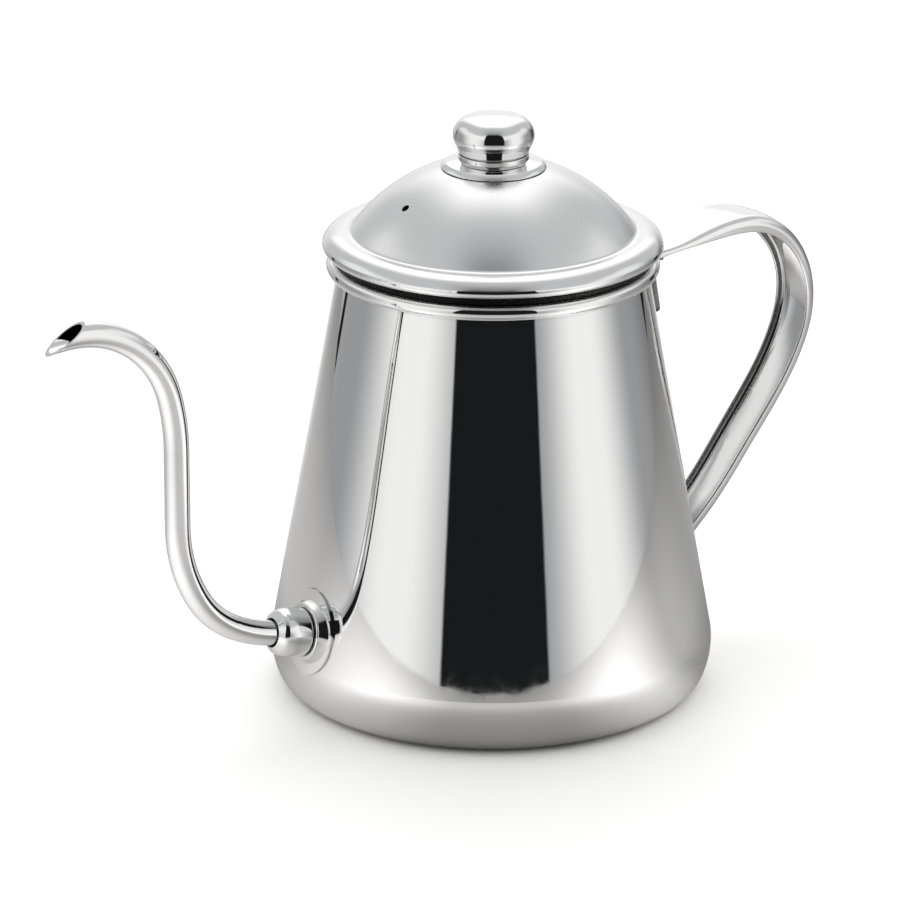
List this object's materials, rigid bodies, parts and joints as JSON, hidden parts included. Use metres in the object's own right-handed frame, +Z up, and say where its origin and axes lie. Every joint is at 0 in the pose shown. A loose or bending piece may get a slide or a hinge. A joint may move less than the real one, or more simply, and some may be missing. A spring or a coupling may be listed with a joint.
{
  "type": "gooseneck kettle",
  "caption": "Conical steel pour-over kettle with a thin gooseneck spout, a lift-out domed lid with a turned knob, and an open channel handle.",
  "frame": {"origin": "centre of the base, on the plane it rests on", "axes": "+Z up along the vessel's axis, spout along -X, handle along +X"},
  "size_m": [0.2498, 0.125, 0.1664],
  "materials": {
    "polished_steel": "mirror polished stainless steel",
    "satin_steel": "satin dome with a polished brim",
    "plain_steel": "plain drawn steel",
    "seal": "dull"
  },
  "bodies": {
    "kettle": {"body_shell": "polished_steel", "base_pan": "polished_steel", "spout_tube": "polished_steel", "spout_ferrule": "polished_steel", "spout_flange": "polished_steel", "spout_inner_ring": "plain_steel", "handle_channel": "polished_steel", "handle_upper_bracket": "plain_steel", "handle_lower_bracket": "plain_steel"},
    "knob": {"knob_gasket": "seal", "knob_skirt": "polished_steel", "knob_collar": "polished_steel", "knob_cap": "polished_steel", "knob_insert": "plain_steel", "knob_screw": "plain_steel", "knob_washer": "plain_steel", "knob_lock_washer": "plain_steel"},
    "lid": {"lid_shell": "satin_steel", "lid_collar": "plain_steel"}
  },
  "joints": [
    {"name": "lid_lift", "type": "slide", "parent": "kettle", "child": "knob", "axis": [0, 0, 1], "range_m": [0, 0.06]},
    {"name": "lid_turn", "type": "hinge", "parent": "knob", "child": "lid", "pos_m": [0, 0, 0.1527], "axis": [0, 0, 1], "continuous": true}
  ]
}
